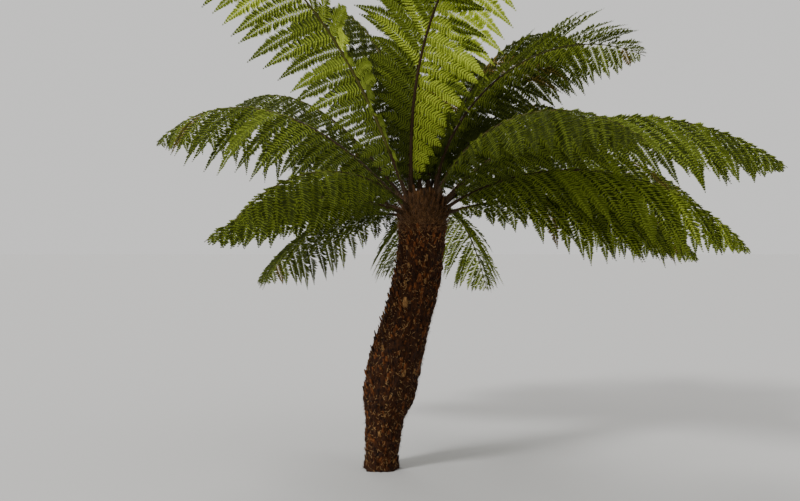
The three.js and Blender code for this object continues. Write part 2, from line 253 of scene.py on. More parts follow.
def fibre_material(name, dark, light, scale, bump):
    """Matted fibre: dark and light brown in long fine streaks, with a rough surface."""
    made = material(name, dark, FIBRE_ROUGHNESS, FIBRE_SPECULAR)
    nodes, links = made.node_tree.nodes, made.node_tree.links
    place = nodes.new("ShaderNodeTexCoord")
    stretch = nodes.new("ShaderNodeMapping")
    stretch.inputs["Scale"].default_value = (1, 1, FIBRE_STRETCH)
    noise = nodes.new("ShaderNodeTexNoise")
    noise.inputs["Scale"].default_value = scale
    noise.inputs["Detail"].default_value = FIBRE_DETAIL
    noise.inputs["Roughness"].default_value = FIBRE_GRAIN
    ramp = nodes.new("ShaderNodeValToRGB")
    ramp.color_ramp.elements[0].position = FIBRE_DARK_UPTO
    ramp.color_ramp.elements[0].color = (*dark, 1)
    ramp.color_ramp.elements[1].position = FIBRE_LIGHT_FROM
    ramp.color_ramp.elements[1].color = (*light, 1)
    relief = nodes.new("ShaderNodeBump")
    relief.inputs["Strength"].default_value = FIBRE_BUMP_STRENGTH
    relief.inputs["Distance"].default_value = bump
    shader = nodes["Principled BSDF"]
    links.new(place.outputs["Object"], stretch.inputs["Vector"])
    links.new(stretch.outputs["Vector"], noise.inputs["Vector"])
    links.new(noise.outputs["Fac"], ramp.inputs["Fac"])
    links.new(ramp.outputs["Color"], shader.inputs["Base Color"])
    links.new(noise.outputs["Fac"], relief.inputs["Height"])
    links.new(relief.outputs["Normal"], shader.inputs["Normal"])
    return made


# The trunk's centre line, thickness and skin


def trunk_centre(height):
    """Points on the trunk's leaning, bowed centre line."""
    height = np.asarray(height, float)
    bow = BOW * np.sin(2 * math.pi * height / AXIS_WAVE)
    return np.stack([LEAN * height - bow, np.zeros_like(height), height], axis=-1)


def trunk_radius(height):
    """The radius between the profile's rows, eased so that the skin has no corners."""
    height = np.asarray(height, float)
    k = np.clip(np.searchsorted(TRUNK_PROFILE[:, 0], height), 1, len(TRUNK_PROFILE) - 1)
    below, above = TRUNK_PROFILE[k - 1], TRUNK_PROFILE[k]
    t = np.clip((height - below[..., 0]) / (above[..., 0] - below[..., 0]), 0, 1)
    return below[..., 1] + (above[..., 1] - below[..., 1]) * t * t * (3 - 2 * t)


def trunk_point(height, angle, out=0.0):
    """Points on the trunk's uneven skin, or out beyond it."""
    (count, turn), (cross_count, cross_turn) = LUMP_TURNS, CROSS_LUMP_TURNS
    lumps = np.sin(count * angle + height / turn) + np.sin(cross_count * angle - height / cross_turn)
    radius = trunk_radius(height) * (1 + LUMP * lumps / 2) + out
    ring = np.stack([np.cos(angle) * radius, np.sin(angle) * radius, np.zeros_like(radius)], -1)
    return trunk_centre(height) + ring


# Noise: numbers that scatter the values of neighbouring cells
CELL_FACTORS = (73856093, 19349663, 83492791)
SEED_FACTOR = 2654435761
FIRST_FACTOR, FIRST_ADDED = 1103515245, 12345
LAST_FACTOR, LAST_SHIFT = 1274126177, 13
LOW_31_BITS, LOW_32_BITS = 0x7FFFFFFF, 0xFFFFFFFF


def cell_value(cell, seed):
    """A value from -1 to 1 for each whole-numbered cell, as good as random but always the same."""
    code = seed * SEED_FACTOR
    for axis, factor in enumerate(CELL_FACTORS):
        code = code ^ cell[..., axis] * factor
    code = ((code & LOW_32_BITS) * FIRST_FACTOR + FIRST_ADDED) & LOW_31_BITS
    code = ((code ^ (code >> LAST_SHIFT)) * LAST_FACTOR) & LOW_31_BITS
    return code / (LOW_31_BITS // 2) - 1


def lattice_noise(points, size, seed):
    """Smooth random values from -1 to 1 with bumps of the given size."""
    scaled = points / size
    cell = np.floor(scaled).astype(np.int64)
    t = scaled - cell
    t = t * t * (3 - 2 * t)
    total = 0
    for corner in range(8):
        step = np.array([corner & 1, (corner >> 1) & 1, corner >> 2])
        weight = np.prod(np.where(step, t, 1 - t), axis=-1)
        total = total + weight * cell_value(cell + step, seed)
    return total


# Relief of matted fibre: the size of its bumps and how far they stand out
KNOT_SIZE, KNOT_RELIEF = 0.045, 0.006
CLUMP_SIZE, CLUMP_RELIEF = 0.019, 0.014
STRAND_SIZE, STRAND_RELIEF = 0.008, 0.005
# Clumps and strands are longer upright than across
CLUMP_SCALE = (1, 1, 0.6)
STRAND_SCALE = (1, 1, 0.4)


def fibre_relief(points):
    """How far matted fibre stands out at each point: knots, clumps and strands."""
    knots = lattice_noise(points, KNOT_SIZE, 1)
    clumps = np.abs(lattice_noise(points * CLUMP_SCALE, CLUMP_SIZE, 2))
    strands = lattice_noise(points * STRAND_SCALE, STRAND_SIZE, 3)
    return KNOT_RELIEF * knots + CLUMP_RELIEF * clumps + STRAND_RELIEF * strands


def ring_grid(rings, sides):
    """Triangles between neighbouring rings of points, closed round."""
    ring, side = np.meshgrid(np.arange(rings - 1), np.arange(sides), indexing="ij")
    a = ring * sides + side
    b = ring * sides + (side + 1) % sides
    c, d = b + sides, a + sides
    return np.stack([np.stack([a, b, c], -1), np.stack([a, c, d], -1)], 2).reshape(-1, 3)


TRUNK_RINGS = 300
ROUND_SIDES = 132  # of the trunk and the crown head
TRUNK_FIBRE_SUNK = 0.010  # depth of the fibre's foot below the solid's skin


def make_trunk(finish):
    """The trunk with its fibre, closed at foot and top."""
    rings, sides = TRUNK_RINGS, ROUND_SIDES
    height = np.linspace(0, TRUNK_HEIGHT, rings)[:, None]
    angle = np.linspace(0, 2 * math.pi, sides, endpoint=False)[None]
    height, angle = np.broadcast_arrays(height, angle)
    skin = trunk_point(height, angle)
    points = trunk_point(height, angle, fibre_relief(skin) - TRUNK_FIBRE_SUNK).reshape(-1, 3)
    foot, top = len(points), len(points) + 1
    points = np.vstack([points, trunk_centre(0.0), trunk_centre(TRUNK_HEIGHT)])
    side = np.arange(sides)
    last = (rings - 1) * sides
    under = np.stack([np.full(sides, foot), (side + 1) % sides, side], -1)
    over = np.stack([np.full(sides, top), last + side, last + (side + 1) % sides], -1)
    faces = np.vstack([ring_grid(rings, sides), under, over])
    trunk = mesh_piece("trunk_fibre", points, faces, finish, smooth=True)
    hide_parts("trunk")


# A stub is the flattened, blunt foot of an old frond, which bends up as it leaves the trunk.
STUB_SECTIONS = 4
STUB_SIDES = 6
STUB_FLATNESS = 0.5  # thickness over width
STUB_TAPER = 0.5  # share of the width lost at the end
STUB_END = 0.9  # where the blunt end's middle lies, as a share of the length
STUB_BEND = (0.4, 0.6)  # share of its lift with which a stub leaves, and what it gains by its end


def stubs(roots, out, across, length, width, lift):
    """Corner points (copies, corners, 3) of stubs that leave roots along out and bend up."""
    up = np.cross(out, across)
    bend_root, bend_gain = STUB_BEND
    rows = []
    for k in range(STUB_SECTIONS):
        t = k / (STUB_SECTIONS - 1)
        heading = unit(out + up * (lift * (bend_root + bend_gain * t))[:, None])
        centre = roots + heading * (length * t)[:, None]
        thick = width * (1 - STUB_TAPER * t**2) / 2
        for side in range(STUB_SIDES):
            turn = 2 * math.pi * side / STUB_SIDES
            rows.append(
                centre
                + across * (thick * math.cos(turn))[:, None]
                + np.cross(across, heading) * (thick * STUB_FLATNESS * math.sin(turn))[:, None]
            )
    rows.append(roots + unit(out + up * lift[:, None]) * (length * STUB_END)[:, None])
    return np.stack(rows, 1)


def stub_pattern():
    """The triangles of one stub."""
    body = ring_grid(STUB_SECTIONS, STUB_SIDES)
    side = np.arange(STUB_SIDES)
    last = (STUB_SECTIONS - 1) * STUB_SIDES
    end = STUB_SECTIONS * STUB_SIDES
    cap = np.stack([np.full(STUB_SIDES, end), last + side, last + (side + 1) % STUB_SIDES], -1)
    return np.vstack([body, cap])


STUB_PATTERN = stub_pattern()


def round_frame(angle):
    """Directions straight out of the trunk and across it, at angles round it."""
    out = np.stack([np.cos(angle), np.sin(angle), np.zeros_like(angle)], -1)
    across = np.stack([-np.sin(angle), np.cos(angle), np.zeros_like(angle)], -1)
    return out, across


SMALL_STUBS = 1300
SMALL_LENGTH = 0.032
SMALL_WIDTH = 0.018
SMALL_SUNK = 0.013
SMALL_TURN_NOISE = 0.12
LARGE_SCALE = 1.1  # of the large stubs, against the solid's
LARGE_SUNK = 0.016
STUBS_FROM = 0.03  # height from which the small stubs stand
STUBS_SPAN = TRUNK_HEIGHT - 0.05  # and over how much of the trunk
STUB_SIZES = (0.7, 1.3)
STUB_LIFTS = (1.4, 3.0)  # how strongly stubs bend up
STUB_SEED = 7


def stub_places(random):
    """Height and angle of the trunk's stubs: the small ones, then the large ones of the solid."""
    small = np.arange(SMALL_STUBS)
    large = np.arange(PEG_COUNT)
    height = np.concatenate(
        [
            STUBS_FROM + STUBS_SPAN * (small + 0.5) / SMALL_STUBS,
            PEG_LOWEST + (PEG_HIGHEST - PEG_LOWEST) * (large + 0.5) / PEG_COUNT,
        ]
    )
    angle = np.concatenate(
        [
            small * GOLDEN_ANGLE + random.normal(0, SMALL_TURN_NOISE, SMALL_STUBS),
            large * GOLDEN_ANGLE,
        ]
    )
    return height, angle


def make_trunk_stubs(looks):
    """Small stubs all over the trunk and the large ones of the solid, in several browns.

    looks gives each colour's piece name, the share of stubs up to which it goes, and material.
    """
    random = np.random.default_rng(STUB_SEED)
    height, angle = stub_places(random)
    count = len(height)
    large = np.arange(count) >= SMALL_STUBS
    size = random.uniform(*STUB_SIZES, count)
    length = np.where(large, PEG_LENGTH * LARGE_SCALE, SMALL_LENGTH) * size
    width = np.where(large, PEG_WIDTH * LARGE_SCALE, SMALL_WIDTH) * size
    lift = random.uniform(*STUB_LIFTS, count)
    out, across = round_frame(angle)
    roots = trunk_point(height, angle, np.where(large, -LARGE_SUNK, -SMALL_SUNK))
    points = stubs(roots, out, across, length, width, lift)
    share = random.uniform(0, 1, count)
    low = 0.0
    for name, upto, finish in looks:
        pile = Pile()
        pile.add_copies(points[(share >= low) & (share < upto)], STUB_PATTERN)
        pile.stand_for(["trunk"], "trunk_bark", name, finish)
        low = upto


THREAD_PATTERN = [(0, 1, 2), (2, 1, 3), (2, 3, 4)]
THREAD_WAIST = 0.8  # width halfway over the width at the root


def threads(roots, heading, across, length, width, curl):
    """Thin curved slivers: corner points (copies, 5, 3)."""
    middle = roots + heading * (0.5 * length)[:, None]
    end = roots + unit(heading + curl) * length[:, None]
    half = across * (width / 2)[:, None]
    waist = half * THREAD_WAIST
    return np.stack([roots - half, roots + half, middle - waist, middle + waist, end], 1)


ROOTLET_LENGTHS = (0.010, 0.034)
ROOTLET_WIDTHS = (0.0010, 0.0026)
ROOTLET_OUTS = (-0.008, 0.001)  # where rootlets start, from the solid's skin
ROOTLET_CURL = 0.35
ROOTLETS_FROM = 0.01  # height of the lowest
ROOTLET_OUTWARDS = (0.0, 0.9)  # how strongly they point out of the trunk
ROOTLET_OUTWARD_SCALE = 0.4  # of that, with the straying added
ROOTLET_ACROSS = 0.3  # how strongly they point across the trunk, with the straying added
ROOTLET_TWIST = 0.3  # turns their flat side off the trunk
ABOVE_GROUND = 0.001  # lowest point of a rootlet


def make_trunk_threads(name, count, seed, stray, finish):
    """Rootlets and hairs on the trunk: mostly upright, or straying from that by the share stray."""
    random = np.random.default_rng(seed)
    height = random.uniform(ROOTLETS_FROM, TRUNK_HEIGHT, count)
    angle = random.uniform(0, 2 * math.pi, count)
    out, across = round_frame(angle)
    upright = -DOWN * random.choice([-1.0, 1.0], count)[:, None]
    heading = unit(
        upright
        + out * random.uniform(*ROOTLET_OUTWARDS, count)[:, None] * (ROOTLET_OUTWARD_SCALE + stray)
        + across * random.normal(0, ROOTLET_ACROSS + stray, count)[:, None]
    )
    side = unit(np.cross(heading, out + across * ROOTLET_TWIST))
    length = random.uniform(*ROOTLET_LENGTHS, count)
    width = random.uniform(*ROOTLET_WIDTHS, count)
    curl = random.normal(0, ROOTLET_CURL, (count, 3))
    root = trunk_point(height, angle, random.uniform(*ROOTLET_OUTS, count))
    points = threads(root, heading, side, length, width, curl)
    points[..., 2] = np.maximum(points[..., 2], ABOVE_GROUND)
    pile = Pile()
    pile.add_copies(points, THREAD_PATTERN)
    pile.stand_for(["trunk"], "trunk_bark", name, finish)


# Crown head

HEAD_DOME = 2.4  # how late the head's side turns in to its top
HEAD_RINGS = 60
HEAD_RELIEF = 0.8  # of the trunk's
HEAD_FIBRE_SUNK = 0.004
HEAD_TOP_OUT = 0.012  # how far the fibre stands above the head's top


def head_radius(share):
    """The crown head's radius at a share of its height."""
    dome = np.sqrt(1 - np.minimum(1, share) ** HEAD_DOME)
    return HEAD_TOP_RADIUS + (HEAD_RADIUS - HEAD_TOP_RADIUS) * dome


def head_point(share, angle, out=0.0):
    """Points on the crown head, or out beyond it."""
    radius = head_radius(share) + out
    ring = np.stack([np.cos(angle) * radius, np.sin(angle) * radius, share * HEAD_HEIGHT], -1)
    return trunk_centre(TRUNK_HEIGHT) + ring


def make_head(finish):
    """The crown head with its fibre, closed at the top and open where it sits on the trunk."""
    rings, sides = HEAD_RINGS, ROUND_SIDES
    share = np.linspace(0, 1, rings)[:, None]
    angle = np.linspace(0, 2 * math.pi, sides, endpoint=False)[None]
    share, angle = np.broadcast_arrays(share, angle)
    skin = head_point(share, angle)
    out = fibre_relief(skin) * HEAD_RELIEF - HEAD_FIBRE_SUNK
    points = head_point(share, angle, out).reshape(-1, 3)
    top = trunk_centre(TRUNK_HEIGHT) + [0, 0, HEAD_HEIGHT + HEAD_TOP_OUT]
    points = np.vstack([points, top])
    side = np.arange(sides)
    last = (rings - 1) * sides
    cap = np.stack([np.full(sides, len(points) - 1), last + side, last + (side + 1) % sides], -1)
    faces = np.vstack([ring_grid(rings, sides), cap])
    head = mesh_piece("crown_dome", points, faces, finish, smooth=True)
    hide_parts("crown_head")


HEAD_STUBS = 110
HEAD_STUB_LENGTH = 0.062
HEAD_STUB_WIDTH = 0.026
HEAD_STUB_SUNK = 0.012
HEAD_STUB_SIZES = (0.7, 1.15)
HEAD_STUBS_FROM, HEAD_STUBS_SPAN = 0.02, 0.9  # shares of the head's height
HEAD_STUB_CROWDING = 0.9  # under 1, so they stand a little closer together towards the top
HEAD_STUB_LIFTS = (0.9, 2.2)  # at the head's foot, and what is gained over its height
HEAD_STUB_SEED = 12


def make_head_stubs(finish):
    """Feet of old fronds round the crown head, between those that still stand."""
    random = np.random.default_rng(HEAD_STUB_SEED)
    count = HEAD_STUBS
    spread = ((np.arange(count) + 0.5) / count) ** HEAD_STUB_CROWDING
    share = HEAD_STUBS_FROM + HEAD_STUBS_SPAN * spread
    angle = np.arange(count) * GOLDEN_ANGLE
    out, across = round_frame(angle)
    size = random.uniform(*HEAD_STUB_SIZES, count)
    roots = head_point(share, angle, -HEAD_STUB_SUNK)
    lift_foot, lift_gain = HEAD_STUB_LIFTS
    lift = lift_foot + lift_gain * share
    points = stubs(roots, out, across, HEAD_STUB_LENGTH * size, HEAD_STUB_WIDTH * size, lift)
    pile = Pile()
    pile.add_copies(points, STUB_PATTERN)
    pile.stand_for(["crown_head"], "crown_fibre", "crown_stubs", finish)


HEAD_HAIRS = 7000
HAIR_LENGTHS = (0.015, 0.045)
HAIR_WIDTHS = (0.0007, 0.0015)
HAIR_SHARES = (-0.25, 1.0)  # where hair starts, from a little below the head to its top
HAIR_SUNK = 0.002
HAIR_STRAY = 0.35
HAIR_OUTWARD = 1.1  # how strongly hair points out at the head's foot, and by 1 less at its top
HAIR_UPWARD = 0.5  # how strongly it points up at the foot, and by 1 more at the top
HAIR_TWIST = 0.2
HAIR_SEED = 21


def make_head_hair(finish):
    """Hair all over the crown head and a little way down the trunk."""
    random = np.random.default_rng(HAIR_SEED)
    count = HEAD_HAIRS
    share = random.uniform(*HAIR_SHARES, count)
    angle = random.uniform(0, 2 * math.pi, count)
    out, across = round_frame(angle)
    low = np.clip(share, 0, 1)
    root = head_point(low, angle, -HAIR_SUNK)
    root[:, 2] += np.minimum(share, 0) * HEAD_HEIGHT
    root[:, 0] += np.minimum(share, 0) * HEAD_HEIGHT * LEAN
    heading = unit(
        out * (HAIR_OUTWARD - low)[:, None]
        - DOWN * (HAIR_UPWARD + low)[:, None]
        + random.normal(0, HAIR_STRAY, (count, 3))
    )
    side = unit(np.cross(heading, out + across * HAIR_TWIST))
    length = random.uniform(*HAIR_LENGTHS, count)
    width = random.uniform(*HAIR_WIDTHS, count)
    curl = random.normal(0, HAIR_STRAY, (count, 3))
    points = threads(root, heading, side, length, width, curl)
    pile = Pile()
    pile.add_copies(points, THREAD_PATTERN)
    pile.stand_for(["crown_head"], "crown_fibre", "crown_hair", finish)


# Fronds

ROOT_SUNK = 0.01  # depth of a rib's root in the head
FOOT_RISE = -32  # degrees, the rise that would seat a rib at the head's foot
RISE_SPAN = 128  # degrees, how much more would seat it at the head's top
SEAT_SHARES = (0.15, 0.9)  # lowest and highest share of the head's height at which a rib starts


def frond_root(azimuth, rise, seat):
    """Where a frond's rib starts: steep fronds higher on the head than flat ones."""
    share = np.clip((rise - FOOT_RISE) / RISE_SPAN, *SEAT_SHARES)
    angle = math.radians(azimuth if seat is None else seat)
    return head_point(share, angle, -ROOT_SUNK)


def rib_frames(frond):
    """Point, direction, left and up along a frond's rib, as arrays."""
    azimuth, rise, droop, bend, length, sway, seat = frond
    share = np.arange(RIB_STEPS + 1) / RIB_STEPS
    turned = np.radians(azimuth + sway * share)
    climb = np.radians(rise - droop * share**bend)
    along = np.stack(
        [np.cos(climb) * np.cos(turned), np.cos(climb) * np.sin(turned), np.sin(climb)], -1
    )
    left = np.stack([-np.sin(turned), np.cos(turned), np.zeros_like(turned)], -1)
    up = np.cross(along, left)
    point = frond_root(azimuth, rise, seat) + np.vstack(
        [np.zeros(3), np.cumsum(along[:-1] * length / RIB_STEPS, axis=0)]
    )
    return point, along, left, up


def frame_at(frames, share):
    """Point, direction, left and up at a share of a rib's length."""
    place = min(share, 1) * RIB_STEPS
    k = min(int(place), RIB_STEPS - 1)
    t = place - k
    point, along, left, up = ((1 - t) * f[k] + t * f[k + 1] for f in frames)
    return point, unit(along), unit(left), unit(up)


OUTLINE_SKEW = 1.05  # over 1, so the longest leaflets stand just past the rib's middle
OUTLINE_POINT = 1.1  # over 1, so the frond narrows a little more to both ends
LEAST_FULLNESS = 0.6


def outline(share):
    """Length of the leaflets at a share of the rib's length, over that of the longest."""
    return math.sin(math.pi * min(share, 1) ** OUTLINE_SKEW) ** OUTLINE_POINT


def fullness(share):
    """Size of the pinnules and spacing of the leaflets at a share of the rib's length, at most 1."""
    return LEAST_FULLNESS + (1 - LEAST_FULLNESS) * outline(share)


def station_shares(length):
    """Shares of the rib's length between which the leaflets stand."""
    shares = [BARE_SHARE]
    while True:
        last = shares[-1]
        following = last + LEAFLET_SPACING / length * fullness(last)
        if following > LEAFLETS_END:
            return shares
        shares.append(following)


# A pinnule is one small leaf of a leaflet: a folded blade cut into lobes down to its midrib.
LOBES = 4
LOBE_START, LOBE_END = 0.3, 1.05  # in lobes
FOLD = 0.7  # how far the blade's edges hang, over the half width
PINNULE_WAVE = (0.22, 0.74)  # where the outline starts on a half wave, and how much it spans of it
PINNULE_BULGE = 0.8  # under 1, so the outline is fuller than the wave


def pinnule_pattern():
    """The triangles of one pinnule: two to each lobe, left and right of the midrib."""
    faces = []
    for lobe in range(LOBES):
        left = LOBES + 1 + 2 * lobe
        right = left + 2 * LOBES
        faces += [(lobe, lobe + 1, left + 1), (lobe, left + 1, left)]
        faces += [(lobe + 1, lobe, right), (lobe + 1, right, right + 1)]
    return faces


PINNULE_PATTERN = pinnule_pattern()


def pinnule_outline(t):
    """Width of a pinnule at a share of its length, over the full width."""
    start, span = PINNULE_WAVE
    return math.sin(math.pi * (start + span * min(t, 1))) ** PINNULE_BULGE


def pinnules(roots, heading, across, over, length, width, curl):
    """Corner points (copies, corners, 3) of pinnules that leave roots along heading."""

    def place(t, side):
        bend = unit(heading - over * (curl * t)[:, None])
        half = width * (side * pinnule_outline(t) / 2)
        return (
            roots
            + bend * (length * t)[:, None]
            + across * half[:, None]
            - over * (np.abs(half) * FOLD)[:, None]
        )

    rows = [place(k / LOBES, 0) for k in range(LOBES + 1)]
    for side in (1, -1):
        for k in range(LOBES):
            rows += [place((k + LOBE_START) / LOBES, side), place((k + LOBE_END) / LOBES, side)]
    return np.stack(rows, 1)


# Dark plain sheets a little deeper, between the pinnules: painted shade in the gaps, with no lobes
BACK_PATTERN = [(0, 1, 2), (3, 2, 1)]
BACK_DEPTH = 0.004


def shade_fill_pinnules(roots, heading, across, over, length, width, curl):
    """Corner points (copies, 4, 3) of plain sheets of painted shade that leave roots along heading."""
    middle = roots + unit(heading - over * (0.5 * curl)[:, None]) * (0.5 * length)[:, None]
    half = across * (width / 2)
    end = roots + unit(heading - over * curl[:, None]) * length[:, None]
    return np.stack([roots, middle + half, middle - half, end], 1)


PINNULE_SPACING = 0.0165
PINNULE_REACH = 0.056  # length of the longest pinnules
PINNULE_REACH_SHARE = 0.4  # and at most this share of their leaflet's length
FEWEST_PAIRS = 3
FIRST_PAIR = 0.35  # how far up its leaflet the first pair of pinnules stands, in spacings
PINNULE_LEANS = (70, 22)  # degrees to the leaflet's axis at its root, and what is lost by the tip
PINNULE_SIZES = (0.88, 1.06)
PINNULE_CURLS = (0.1, 0.35)
PINNULE_WIDTH = 0.68  # over the spacing
PINNULE_BLUNTNESS = 0.6  # width over length at most
PINNULE_LEAST = 0.002  # added to the length
TAPER_FROM_TIP = 0.42  # share of a leaflet in which its pinnules shorten to the tip
TAPER_CURVE = 1.1
ROOT_TAPER = (0.8, 2.2)  # length at the leaflet's root over the full one, and how fast it grows
LEAN_NOISE = 5  # degrees
LIFT_NOISE, ROLL_NOISE = 0.08, 0.12
BACK_LENGTH, BACK_WIDTH = 0.93, 0.95  # of the sheets of painted shade, over the pinnules' length and the spacing
ANGLE_NOISE, DIP_NOISE = 2, 7  # degrees, of a leaflet
REACH_SIZES = (0.93, 1.03)
SAG_SIZES = (0.85, 1.15)
AXIS_STEPS = 14  # steps in which a leaflet's curve is followed


def leaflet_curve(frames, length, hold, share, side, random):
    """Points and directions along a leaflet's own axis, and the plane it lies in."""
    point, along, left, up = frame_at(frames, share)
    angle = np.interp(share, (0, 1), hold["angles"]) + side * hold["swing"]
    angle = math.radians(angle + random.normal(0, ANGLE_NOISE))
    dip = np.interp(share, (0, 1), hold["left" if side > 0 else "right"])
    dip = math.radians(dip + random.normal(0, DIP_NOISE))
    start = (
        along * math.cos(angle)
        + left * (side * math.sin(angle) * math.cos(dip))
        - up * (math.sin(angle) * math.sin(dip))
    )
    reach = length * hold["reach"] * outline(share) * random.uniform(*REACH_SIZES)
    t = (np.arange(AXIS_STEPS) + 0.5) / AXIS_STEPS
    heading = unit(start + DOWN * (hold["sag"] * random.uniform(*SAG_SIZES) * t)[:, None])
    points = point + np.vstack([np.zeros(3), np.cumsum(heading * reach / AXIS_STEPS, axis=0)])
    return points, np.vstack([heading, heading[-1]]), along, reach


def along_curve(points, heading, t):
    """Points and directions at shares t along a leaflet's axis."""
    place = t * AXIS_STEPS
    k = np.minimum(place.astype(int), AXIS_STEPS - 1)
    rest = (place - k)[:, None]
    return (
        points[k] + (points[k + 1] - points[k]) * rest,
        unit(heading[k] + (heading[k + 1] - heading[k]) * rest),
    )


def pinnule_directions(t, ahead, outward, over, random):
    """The way that each pinnule points, and the way across its blade."""
    lean_root, lean_lost = PINNULE_LEANS
    lean = np.radians(lean_root - lean_lost * t + random.normal(0, LEAN_NOISE, len(t)))
    lift = random.normal(0, LIFT_NOISE, len(t))
    roll = random.normal(0, ROLL_NOISE, len(t))
    direction = ahead * np.cos(lean)[:, None] + outward * np.sin(lean)[:, None]
    direction = unit(direction + over * lift[:, None])
    across = unit(unit(np.cross(over, direction)) + over * roll[:, None])
    return direction, across


def pinnule_lengths(t, size, reach, random):
    """Length of the pinnules at shares t of a leaflet's length, which is reach."""
    taper_root, taper_gain = ROOT_TAPER
    to_tip = np.minimum(1, (1 - t) / TAPER_FROM_TIP) ** TAPER_CURVE
    taper = to_tip * np.minimum(1, taper_root + taper_gain * t)
    full = min(PINNULE_REACH * size, PINNULE_REACH_SHARE * reach)
    return full * taper * random.uniform(*PINNULE_SIZES, len(t)) + PINNULE_LEAST


def add_leaflet(pile, shade_fill, frames, length, hold, share, side, random):
    """A leaflet's pinnules in two rows, and the dark sheets of painted shade that show between them.
    """
    points, heading, along, reach = leaflet_curve(frames, length, hold, share, side, random)
    size = fullness(share)
    spacing = PINNULE_SPACING * size
    count = max(FEWEST_PAIRS, int(reach / spacing))
    t = np.repeat((np.arange(count) + FIRST_PAIR) / count, 2)
    hand = np.tile([1.0, -1.0], count)
    root, ahead = along_curve(points, heading, t)
    aside = unit(along - ahead * (ahead @ along)[:, None])
    over = unit(np.cross(ahead, aside)) * side
    direction, across = pinnule_directions(t, ahead, aside * hand[:, None], over, random)
    length = pinnule_lengths(t, size, reach, random)
    width = np.minimum(spacing * PINNULE_WIDTH, length * PINNULE_BLUNTNESS)
    curl = random.uniform(*PINNULE_CURLS, len(t))
    pile.add_copies(
        pinnules(root, direction, across, over, length, width, curl), PINNULE_PATTERN
    )
    # Dark sheets between the pinnules, a tone deeper: painted shade in the gaps
    between = along_curve(points, heading, t + 0.5 / count)[0] - over * BACK_DEPTH
    fill_length, fill_width = length * BACK_LENGTH, spacing * BACK_WIDTH
    shade_fill.add_copies(
        shade_fill_pinnules(between, direction, across, over, fill_length, fill_width, curl),
        BACK_PATTERN,
    )
    add_axis(pile, points, heading, along, reach)


STALK_TIP = 0.0004  # half a stalk's thickness at its tip
STALK_SWELL = 0.0018  # and what is added at its root, over the leaflet's length
STALK_KEEL = 1.4  # depth of its lower edge, over half the thickness


def add_axis(pile, points, heading, along, reach):
    """A leaflet's own thin stalk: a three-sided taper along its curve."""
    t = np.linspace(0, 1, len(points))
    thick = (STALK_TIP + STALK_SWELL * reach * (1 - t))[:, None]
    aside = unit(along - heading * (heading @ along)[:, None])
    over = np.cross(heading, aside)
    rows = [points + aside * thick, points - aside * thick, points - over * thick * STALK_KEEL]
    stacked = np.stack(rows, 1).reshape(-1, 3)
    pile.add(stacked, ring_grid(len(points), 3))


RIB_SIDES = 8
RIB_SECTIONS = 34
GROOVE_SIDE = RIB_SIDES // 4  # the side on top
RIB_WIDTH, RIB_KEEL, RIB_BACK, RIB_GROOVE = 0.95, 1.15, 0.45, 0.2  # over the rib's half width
ROOT_SWELL = 0.9  # how much thicker a rib's root is
ROOT_SWELL_SHARE = 0.025  # share of its length in which that fades


def add_rib(ribs, frames, first, last):
    """Part of a frond's rib, between two shares of its length, as a grooved tapering tube."""
    shares = np.linspace(first, last, RIB_SECTIONS)
    rows = []
    for share in shares:
        point, _, left, up = frame_at(frames, share)
        half = RIB_ROOT + (RIB_TIP - RIB_ROOT) * share
        swell = 1 + ROOT_SWELL * math.exp(-share / ROOT_SWELL_SHARE)
        for side in range(RIB_SIDES):
            turn = 2 * math.pi * side / RIB_SIDES
            tall = RIB_KEEL if math.sin(turn) < 0 else RIB_BACK
            if side == GROOVE_SIDE:
                tall = RIB_GROOVE
            rows.append(
                point
                + left * (half * swell * RIB_WIDTH * math.cos(turn))
                + up * (half * swell * tall * math.sin(turn))
            )
    count = len(shares)
    rows += [frame_at(frames, first)[0], frame_at(frames, last)[0]]
    side = np.arange(RIB_SIDES)
    end = (count - 1) * RIB_SIDES
    centre = count * RIB_SIDES
    caps = [
        np.stack([np.full(RIB_SIDES, centre), (side + 1) % RIB_SIDES, side], -1),
        np.stack([np.full(RIB_SIDES, centre + 1), end + side, end + (side + 1) % RIB_SIDES], -1),
    ]
    ribs.add(np.array(rows), np.vstack([ring_grid(count, RIB_SIDES), *caps]))


RIB_HAIRS = 260
RIB_HAIR_SHARE = 0.05  # mean share of the rib's length at which a hair stands
RIB_HAIR_UPTO = 0.3
RIB_HAIR_LENGTHS = (0.01, 0.03)
RIB_HAIR_WIDTH = 0.001
RIB_HAIR_SWELL = 0.6
RIB_HAIR_SUNK = 0.8  # where a hair starts, over the rib's half width
RIB_HAIR_OUTWARDS, RIB_HAIR_ONWARDS = (0.4, 1.0), (0.2, 1.0)  # how strongly a hair points so
RIB_HAIR_SHORTENING = 1.8  # times the share of the rib's length
RIB_HAIR_CURL = 0.3


def add_rib_hair(hair, frames, random):
    """Brown hair round the foot of a frond's rib."""
    share = random.exponential(RIB_HAIR_SHARE, RIB_HAIRS)
    for s in share[share < RIB_HAIR_UPTO]:
        point, along, left, up = frame_at(frames, s)
        turn = random.uniform(0, 2 * math.pi)
        out = left * math.cos(turn) + up * math.sin(turn)
        half = RIB_ROOT * (1 + RIB_HAIR_SWELL * math.exp(-s / ROOT_SWELL_SHARE))
        outward = out * random.uniform(*RIB_HAIR_OUTWARDS)
        heading = unit(outward + along * random.uniform(*RIB_HAIR_ONWARDS))
        length = random.uniform(*RIB_HAIR_LENGTHS) * (1 - RIB_HAIR_SHORTENING * s)
        root = (point + out * half * RIB_HAIR_SUNK)[None]
        hair.add_copies(
            threads(
                root,
                heading[None],
                unit(np.cross(heading, along))[None],
                np.array([length]),
                np.array([RIB_HAIR_WIDTH]),
                random.normal(0, RIB_HAIR_CURL, (1, 3)),
            ),
            THREAD_PATTERN,
        )
